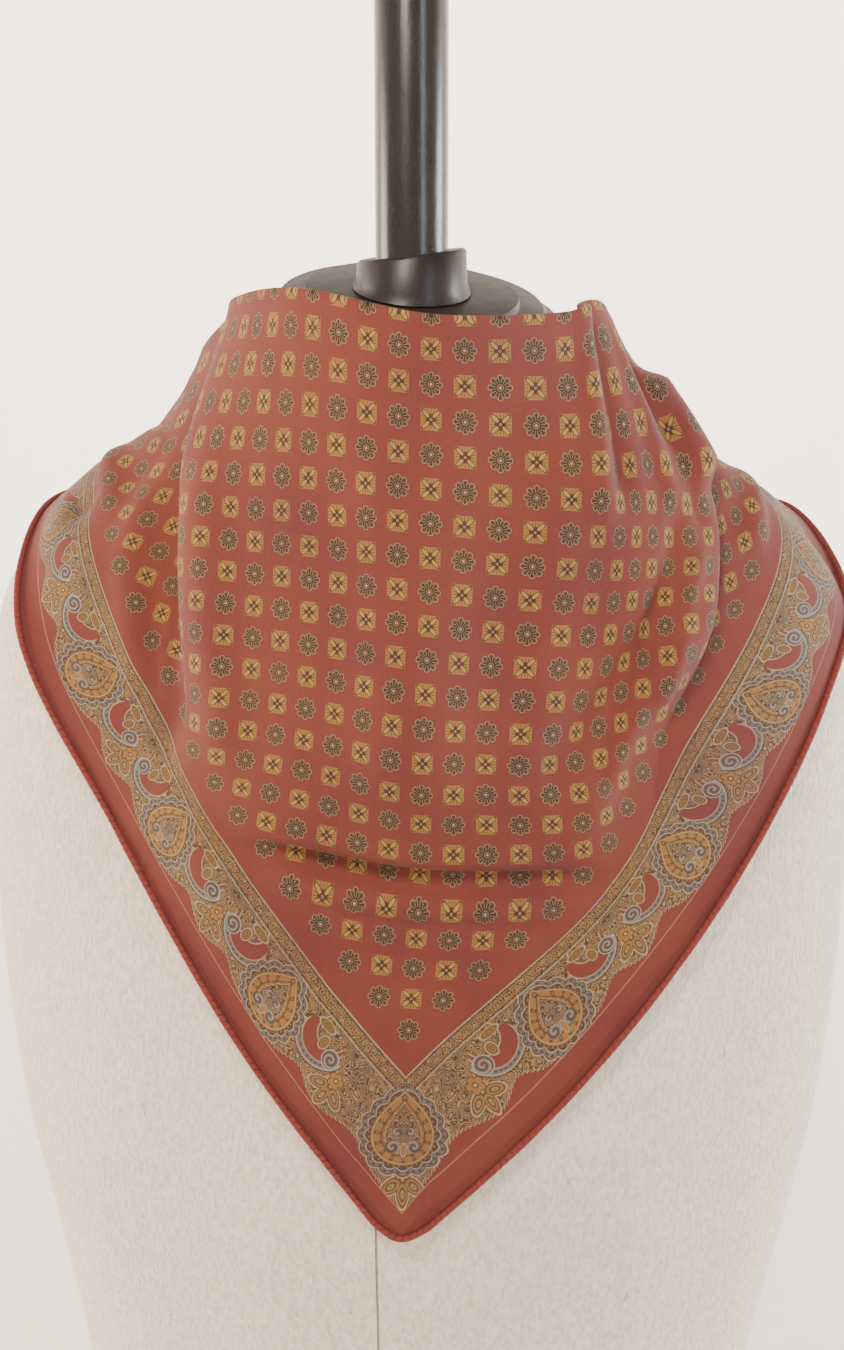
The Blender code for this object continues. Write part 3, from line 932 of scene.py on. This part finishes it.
def paint_boteh(tree, paint, x, y, size):
    """Draws a boteh about the origin of x (sideways) and y (towards its point).

    Returns a Field that is below 0 on it.
    """
    q, angle = boteh_distance(x, y, size)
    cloud = q - scallop(angle, 7.5) * 1.3
    beads = (angle * 38.0).sine()
    flowers = scallop(angle, 7.0)
    heart = paint_arabesque(tree, abs(x) * 1.3, y * 1.3 + 60.0, OCHRE)
    paint.over(UMBER, cloud.below(0.2, SOFT))
    stroke(paint, CREAM, cloud, 0.0, 0.22)
    paint.over(GREY_BLUE, cloud.near(-1.25, 0.6, SOFT))
    paint.over(BROWN, cloud.near(-1.25, 0.3, SOFT) * beads.above(0.1, 0.5) * 0.85)
    stroke(paint, PALE, cloud, -2.3, 0.22)
    paint.over(OCHRE, q.below(-2.2, SOFT))
    paint.over(BROWN, q.near(-2.6, 0.3, SOFT) * beads.below(0.3, 0.5) * 0.8)
    stroke(paint, CREAM, q, -3.5, 0.16)
    paint.over(ORANGE, q.near(-5.0, 1.0, SOFT) * flowers.above(0.5, 0.15))
    paint.over(UMBER, q.near(-5.0, 1.1, SOFT) * flowers.below(0.45, 0.15) * 0.8)
    paint.over(SAND, q.near(-5.0, 0.35, SOFT) * flowers.below(0.2, 0.12))
    stroke(paint, BROWN, q, -6.2, 0.16, 0.85)
    stroke(paint, CREAM, q + scallop(angle, 9.0) * 0.8, -6.9, 0.18, 0.85)
    paint.over(heart, q.below(-7.8, SOFT))
    stroke(paint, BROWN, q, -7.9, 0.16, 0.8)
    for place_x, place_y, reach in ((abs(x) - 3.4, y + 3.4, 2.4), (abs(x) - 1.9, y - 1.6, 1.5)):
        paint_curl(paint, place_x, place_y, reach)
    bud = distance(x, (y + 4.6) / 2.4)
    paint.over(ORANGE, bud.below(1.0, 0.15))
    paint.over(CREAM, bud.near(0.98, 0.1, 0.15))
    return q


def paint_curl(paint, x, y, reach):
    """A small spiral tendril."""
    r = distance(x, y)
    swirl = (r * 3.0 + x.math("ARCTAN2", y)).sine()
    inside = r.below(reach, SOFT)
    paint.over(GREY_BLUE, inside * 0.8)
    paint.over(BROWN, swirl.above(0.35, 0.5) * inside * 0.6)
    paint.over(PALE, swirl.below(-0.72, 0.3) * inside * 0.65)


def paint_scrolls(paint, h, a):
    """A red crescent with its outlined bow and curl, between a boteh and a palmette."""
    bow = distance((h - 23.0) * 0.92, a - 29.5)
    inner = distance((h - 24.5) * 0.95, a - 33.4)
    below = a.below(27.5, 1.0)
    crescent = bow.below(8.6, SOFT) * inner.above(6.6, SOFT) * a.below(33.0, SOFT)
    paint.over(RED, crescent)
    stroke(paint, CREAM, bow, 8.7, 0.18, a.below(31.0, 1.0))
    stroke(paint, CREAM, inner, 6.5, 0.18, bow.below(8.6, SOFT))
    stroke(paint, UMBER, inner, 5.8, 0.2, bow.below(8.0, SOFT) * 0.8)
    paint.over(GREY_BLUE, bow.near(9.9, 1.0, SOFT) * below)
    beads = ((h * 0.9 + a * 0.45) * 3.2).sine()
    paint.over(BROWN, bow.near(9.7, 0.3, SOFT) * beads.above(0.0, 0.5) * below * 0.8)
    stroke(paint, PALE, bow, 10.9, 0.24, below)
    stroke(paint, UMBER, bow, 11.5, 0.2, below)
    paint_curl(paint, h - 30.4, a - 26.0, 3.6)
    stroke(paint, PALE, distance(h - 30.4, a - 26.0), 3.7, 0.2)
    for leaf_h, leaf_a, half_h, half_a in ((20.6, 33.8, 4.4, 1.9), (24.0, 28.4, 2.1, 3.0)):
        leaf = distance((h - leaf_h) / half_h, (a - leaf_a) / half_a)
        paint.over(OCHRE, leaf.below(1.0, 0.1))
        paint.over(BROWN, leaf.near(0.68, 0.05, 0.08) * 0.7)
        paint.over(BROWN, leaf.near(0.3, 0.05, 0.08) * 0.7)
        paint.over(CREAM, leaf.near(0.93, 0.07, 0.08))


def petal_distance(u, v):
    """Below 0 inside a petal that points along v from the origin."""
    return (distance(u / (2.9 - v * 0.08), (v - 4.6) / 4.7) - 1.0) * 3.0


def paint_palmette(paint, x, a, foot):
    """Palmette of three outlined petals that spread towards the hem, with a flower behind it."""
    ax = abs(x)
    y = a - foot
    down = 9.6 - y
    side_petal = petal_distance(ax * 0.469 - down * 0.883, ax * 0.883 + down * 0.469)
    petals = side_petal.lower(petal_distance(x, down))
    paint.over(OCHRE, petals.below(0.0, SOFT))
    for colour, at, half, share in (
        (CREAM, -0.1, 0.2, 1.0),
        (BROWN, -0.7, 0.12, 0.8),
        (SAND, -1.25, 0.16, 0.8),
        (BROWN, -1.85, 0.14, 0.85),
        (CREAM, -2.4, 0.14, 0.6),
    ):
        stroke(paint, colour, petals, at, half, share)
    flower = distance(ax, y - 12.6)
    rim = 2.3 + abs((ax.math("ARCTAN2", y - 12.6) * 2.5).cosine()) * 1.2
    paint.over(ORANGE, (flower - rim).below(0.0, SOFT))
    stroke(paint, BROWN, flower - rim, 0.0, 0.18, 0.85)
    paint.over(UMBER, flower.below(1.2, SOFT) * 0.8)
    paint.over(CREAM, flower.below(0.55, SOFT))


def paint_guard(tree, along, across):
    """The narrow stripe next to the field: a wavy stem with leaves between lines."""
    paint = paint_arabesque(tree, along * 1.5, across * 1.5, OCHRE)
    stem = across - 40.2 - (along * 1.25).sine() * 1.1
    leaf_place = (along / 2.513).math("FRACT") * 2.513 - 1.257
    leaves = distance(leaf_place / 0.8, across - 40.2)
    stroke(paint, BROWN, stem, 0.0, 0.3, 0.85)
    paint.over(GOLD, leaves.near(0.9, 0.28, SOFT) * 0.6)
    paint.over(BROWN, leaves.below(0.4, SOFT) * 0.7)
    for place, half, colour in ((GUARD_IN, 0.24, CREAM), (38.0, 0.16, BROWN), (42.4, 0.16, BROWN),
                                (FIELD_EDGE - 0.25, 0.22, CREAM)):
        stroke(paint, colour, across, place, half)
    return paint


def band_edge(h, along, corner):
    """How far in from the hem the scrollwork begins: a toothed edge with dips."""
    dip = (h - 24.0) / 7.0
    corner_dip = (along - 44.0) / 12.0
    plain = 10.2 + 4.4 * (-(dip * dip)).math("EXPONENT")
    at_corner = 9.8 + 4.6 * (-(corner_dip * corner_dip)).math("EXPONENT")
    return plain + (at_corner - plain) * corner + (along * 0.55).math("FRACT") * 0.9


def paint_border(tree, paint, s, t):
    """Everything between the field and the hem."""
    u = (HALF_FOLD - t + s) * DIAGONAL
    v = (HALF_FOLD - t - s) * DIAGONAL
    across = u.lower(v)
    along = u.higher(v)
    h = abs(((along - FIRST_PALMETTE) / REPEAT).math("FRACT") - 0.5) * REPEAT
    corner = along.below(FIRST_PALMETTE, 0.05)
    edge = band_edge(h, along, corner)

    border = Paint(tree, RED)
    scrollwork = paint_arabesque(tree, h + (along + 40.0 - h) * corner, across, OCHRE)
    border.over(scrollwork, (across - edge).above(0.0, SOFT))
    stroke(border, CREAM, across - edge, 0.1, 0.16, 0.8)

    side = abs(s)
    down = t - (HALF_FOLD - FIELD_EDGE * math.sqrt(2.0))
    motifs = copy.copy(border)
    paint_scrolls(motifs, h, across)
    at_point = copy.copy(border)
    paint_palmette(at_point, side * 0.85, (47.6 - down) * 0.85, 0.0)
    motifs.over(at_point, corner)
    boteh_x = (h * BOTEH_NARROW).or_else(side * MEDAL_NARROW, corner)
    boteh_y = (across - BOTEH_MIDDLE).or_else(MEDAL_MIDDLE - down, corner)
    boteh_size = BOTEH_SIZE + corner * (MEDAL_SIZE - BOTEH_SIZE)
    boteh = paint_boteh(tree, motifs, boteh_x, boteh_y, boteh_size)
    palmette_x = (h - REPEAT / 2.0).or_else(along - FIRST_PALMETTE, corner)
    paint_palmette(motifs, palmette_x, across, PALMETTE_FOOT)
    border.over(motifs, across.above(LINE_IN, SOFT))

    under_medal = corner * boteh.below(0.0, SOFT)
    in_guard = across.near((GUARD_IN + FIELD_EDGE) / 2.0, 3.4, SOFT)
    border.over(paint_guard(tree, along, across), in_guard * (1.0 - under_medal))
    border.over((214, 160, 124), across.near(LINE_IN, 0.2, SOFT) * 0.8)
    # painted shade: the plain edge darkens within about three millimetres of the rolled hem
    border.over(RED_DEEP, across.below(2.8, 0.8) * 0.4)
    paint.over(border, across.below(FIELD_EDGE, SOFT))


def cotton_sheen(shader):
    shader.inputs["Sheen Weight"].default_value = 0.07
    shader.inputs["Sheen Roughness"].default_value = 0.4
    shader.inputs["Specular IOR Level"].default_value = 0.25


def cloth_material():
    """Printed cotton twill, brick red."""
    material, tree, shader = new_material("foulard_print", 0.82)
    (s, t, _), vector = attribute(tree, "cut")
    paint = paint_field(tree, s, t)
    paint_border(tree, paint, s, t)
    patches = noise(tree, vector, 0.06, 3.0)
    threads = noise(tree, vector, 1.1, 2.0, 0.0, (1.0, 0.45, 1.0))
    faded = noise(tree, vector, 0.018, 2.0)
    paint.over((150, 92, 66), faded.above(0.56, 0.2) * 0.22)
    paint.over((112, 60, 72), faded.below(0.44, 0.2) * 0.3)
    paint.shaded((0.86 + patches * 0.14 + threads * 0.16) * PRINT_DEPTH)
    paint.onto(shader)
    cotton_sheen(shader)
    twill = ((s + t) * 8.5).sine() * 0.5 + ((s - t) * 3.9).sine() * 0.2
    bump(tree, shader, twill * 0.35 + threads * 0.9, 0.00012)
    return material


def hem_material():
    """The rolled edge, with thread crossing it at each stitch."""
    material, tree, shader = new_material("rolled_hem", 0.85)
    (along, around, _), vector = attribute(tree, "cut")
    paint = Paint(tree, RED_HEM)
    fibres = noise(tree, vector, 0.9, 3.0)
    stitch = ((along + around * 0.35) / STITCH_APART).math("FRACT").near(0.5, 0.09, 0.08)
    paint.over(RED_DEEP, stitch * 0.55)
    paint.over(RED, fibres.above(0.58, 0.2) * 0.5)
    paint.shaded((1.15 + fibres * 0.25) * PRINT_DEPTH)
    paint.onto(shader)
    cotton_sheen(shader)
    bump(tree, shader, fibres - stitch * 0.8, 0.0003)
    return material


# ---- the dress form's materials ----
def linen_material():
    """Pale felted linen with seams down the front, back and sides."""
    material, tree, shader = new_material("linen_cover_cloth", 0.92)
    (x, y, level), vector = attribute(tree, "cover")
    fibres = noise(tree, vector, 0.6, 5.0, 0.5, (1.0, 1.0, 0.5))
    flecks = noise(tree, vector, 0.22, 2.0, 0.0, (1.0, 1.0, 0.3))
    weave = noise(tree, vector, 1.6, 2.0, 0.3, (1.0, 1.0, 0.6))
    clouds = noise(tree, vector, 0.02, 3.0)
    seam = abs(x).lower(abs(y)).near(0.0, 0.35, 0.3)
    paint = Paint(tree, (229, 214, 193))
    paint.over((198, 187, 172), fibres.below(0.45, 0.16) * 0.6)
    paint.over((240, 231, 216), fibres.above(0.6, 0.2) * 0.5)
    paint.over((150, 140, 126), flecks.above(0.74, 0.04) * 0.5)
    paint.over((120, 112, 102), seam * level.below(-60.0, 4.0) * 0.8)
    paint.shaded(0.93 + clouds * 0.12)
    paint.onto(shader)
    shader.inputs["Sheen Weight"].default_value = 0.1
    shader.inputs["Specular IOR Level"].default_value = 0.2
    bump(tree, shader, fibres * 0.8 + weave * 0.4 - seam * 0.8, 0.0011)
    return material


def lacquer_material(name, colour, worn_radii, roughness, coat):
    """Dark lacquer, greyer on its upper faces with dust and a painted sheen, and rubbed through along
    the turned edges.
    """
    material, tree, shader = new_material(name, roughness)
    (x, y, _), vector = object_place(tree)
    normal = tree.nodes.new("ShaderNodeNewGeometry").outputs["Normal"]
    upward = parts_of(tree, normal)[2]
    grain = noise(tree, vector, 220.0, 4.0, 0.4, (1.0, 1.0, 0.25))
    specks = noise(tree, vector, 900.0, 2.0)
    paint = Paint(tree, colour)
    # upper faces painted greyer: dust together with a painted sheen of the light from above
    paint.over((74, 64, 56), upward.above(0.6, 0.5) * (0.02 + grain * 0.2))
    paint.over((150, 142, 130), specks.above(0.76, 0.04) * 0.5)
    radius = distance(x, y)
    for worn in worn_radii:
        rubbed = radius.near(worn * MM, 0.5 * MM, 0.5 * MM) * grain.above(0.5, 0.12)
        paint.over((104, 70, 50), rubbed * 0.5)
    paint.onto(shader)
    gloss = roughness + upward.above(0.6, 0.5) * 0.2 + (grain - 0.5) * 0.2
    tree.links.new(gloss.socket, shader.inputs["Roughness"])
    shader.inputs["Coat Weight"].default_value = coat
    shader.inputs["Coat Roughness"].default_value = 0.2
    shader.inputs["Specular IOR Level"].default_value = 0.3
    bump(tree, shader, grain, 0.00015)
    return material


def turned_piece(node, name, material):
    """A turned or cast part of the form: the solid's own shape with eased edges, shaded round."""
    work = bmesh.new()
    work.from_mesh(node.data)
    bmesh.ops.remove_doubles(work, verts=work.verts, dist=1e-6)
    mesh = bpy.data.meshes.new(name)
    work.to_mesh(mesh)
    work.free()
    mesh.materials.clear()
    mesh.materials.append(material)
    mesh.shade_smooth()
    mesh.set_sharp_from_angle(angle=math.radians(35.0))
    thing = add_object(name, mesh)
    thing.matrix_world = node.matrix_world.copy()
    bevel = thing.modifiers.new("eased_edges", "BEVEL")
    bevel.limit_method = "ANGLE"
    bevel.angle_limit = math.radians(50.0)
    bevel.width = 0.4 * MM
    bevel.segments = 2
    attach(thing, "root")
    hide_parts(node.name)


def build_turned_parts(nodes):
    """Cap, collar, pole and base; worn rings are given by their radii."""
    wood = lacquer_material("turned_lacquer", (27, 18, 15), (52.4, 58.9), 0.42, 0.06)
    pole = lacquer_material("pole_lacquer", (25, 19, 18), (13.0,), 0.26, 0.25)
    base = lacquer_material("base_paint", (40, 38, 37), (148.0,), 0.42, 0.1)
    for node, name, material, slot in (
        ("neck_cap", "form_cap", wood, "lacquered_wood"),
        ("neck_collar", "form_collar", wood, "lacquered_wood"),
        ("pole", "form_pole", pole, "lacquered_pole"),
        ("base", "form_base", base, "painted_base"),
    ):
        turned_piece(nodes[node], name, material)


# ---- light, floor and camera ----
CAMERA_PLACE = (0.004, -0.720, 0.820)
CAMERA_PITCH = math.radians(15.5)
LENS = 48.0                   # on the 36 mm long side of the frame
WALL_GLOW = 0.06              # stands for the light of the room on its pale walls
WALL_GLOW_BEHIND = 3.0
FLOOR_FLAT = 3.4              # radius
FLOOR_COVE = 1.6
ROOM_RADIUS = 5.0
ROOM_TOP = 4.2
WARM = (1.0, 0.86, 0.72)


def build_stage():
    """A pale floor that curves up into a wall all round, far outside the object."""
    steps = 12
    profile = [(0.0, 0.0), (FLOOR_FLAT, 0.0)]
    for k in range(1, steps + 1):
        angle = math.pi / 2.0 * k / steps
        profile.append((FLOOR_FLAT + FLOOR_COVE * math.sin(angle), FLOOR_COVE * (1.0 - math.cos(angle))))
    profile.append((ROOM_RADIUS, ROOM_TOP))
    segments = 96
    vertices = []
    for radius, height in profile:
        for k in range(segments):
            angle = 2.0 * math.pi * k / segments
            vertices.append((radius * math.cos(angle), radius * math.sin(angle), height))
    mesh = bpy.data.meshes.new("floor")
    mesh.from_pydata(vertices, [], ring_faces(len(profile), segments, False))
    work = bmesh.new()
    work.from_mesh(mesh)
    bmesh.ops.remove_doubles(work, verts=work.verts, dist=1e-5)
    bmesh.ops.recalc_face_normals(work, faces=work.faces)
    bmesh.ops.reverse_faces(work, faces=work.faces)
    work.to_mesh(mesh)
    work.free()
    mesh.shade_smooth()
    material, tree, shader = new_material("pale_plaster", 0.9)
    place, vector = object_place(tree)
    paint = Paint(tree, (236, 232, 226))
    paint.over((230, 227, 224), noise(tree, vector, 2.0, 3.0))
    paint.onto(shader)
    shader.inputs["Emission Color"].default_value = (1.0, 0.87, 0.74, 1.0)
    behind = (place[1] * (math.pi / (2.0 * ROOM_RADIUS))).sine() * 0.5 + 0.5
    glow = WALL_GLOW + (WALL_GLOW_BEHIND - WALL_GLOW) * behind * behind * behind
    tree.links.new(glow.socket, shader.inputs["Emission Strength"])
    material.cycles.emission_sampling = "NONE"    # a wall this large is found by bounced light
    mesh.materials.append(material)
    add_object("floor", mesh)


def area_light(name, place, aim, size, power, colour):
    """A soft rectangular lamp that the camera doesn't see."""
    data = bpy.data.lights.new(name, "AREA")
    data.shape = "RECTANGLE"
    data.size = size[0]
    data.size_y = size[1]
    data.energy = power
    data.color = colour
    lamp = add_object(name, data)
    lamp.location = place
    lamp.visible_camera = False
    lamp.rotation_euler = (Vector(aim) - Vector(place)).to_track_quat("-Z", "Y").to_euler()


def build_light():
    chest = (0.0, -0.05, 0.62)
    torso = (0.0, 0.0, 0.4)
    area_light("window_above", (-0.28, -0.72, 1.42), chest, (0.3, 0.3), 15.0, WARM)
    area_light("window_left", (-2.0, 0.3, 0.75), torso, (0.9, 1.0), 62.0, WARM)
    area_light("window_right", (1.9, 0.3, 0.8), torso, (0.7, 1.0), 56.0, (0.88, 0.94, 1.0))
    area_light("window_front", (1.15, -1.5, 1.3), (0.0, 0.0, 0.85), (0.4, 1.3), 13.0, (0.7, 0.86, 1.0))
    world = bpy.data.worlds.new("soft_room")
    world.use_nodes = True
    sky = world.node_tree.nodes["Background"]
    sky.inputs["Color"].default_value = (0.74, 0.8, 1.0, 1.0)
    sky.inputs["Strength"].default_value = 0.06
    bpy.context.scene.world = world


def build_camera():
    data = bpy.data.cameras.new("camera")
    data.sensor_width = 36.0
    data.lens = LENS
    camera = add_object("camera", data)
    camera.location = CAMERA_PLACE
    camera.rotation_euler = (math.pi / 2.0 - CAMERA_PITCH, 0.0, 0.0)
    bpy.context.scene.camera = camera


def main():
    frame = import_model()
    build_turned_parts(frame["nodes"])
    build_cover(linen_material())
    cloth = build_cloth(cloth_material())
    hem = hem_material()
    outer_hem = build_hem("scarf_upper_hem", "scarf_outer_hem", HEM_LIFT, HEM_RADIUS - HEM_OVERLAP, hem)
    inner_hem = build_hem("scarf_lower_hem", "scarf_inner_hem", -HEM_LIFT,
                          HEM_RADIUS - HEM_OVERLAP + INNER_HEM_OUT, hem)
    build_stage()
    build_light()
    build_camera()


main()
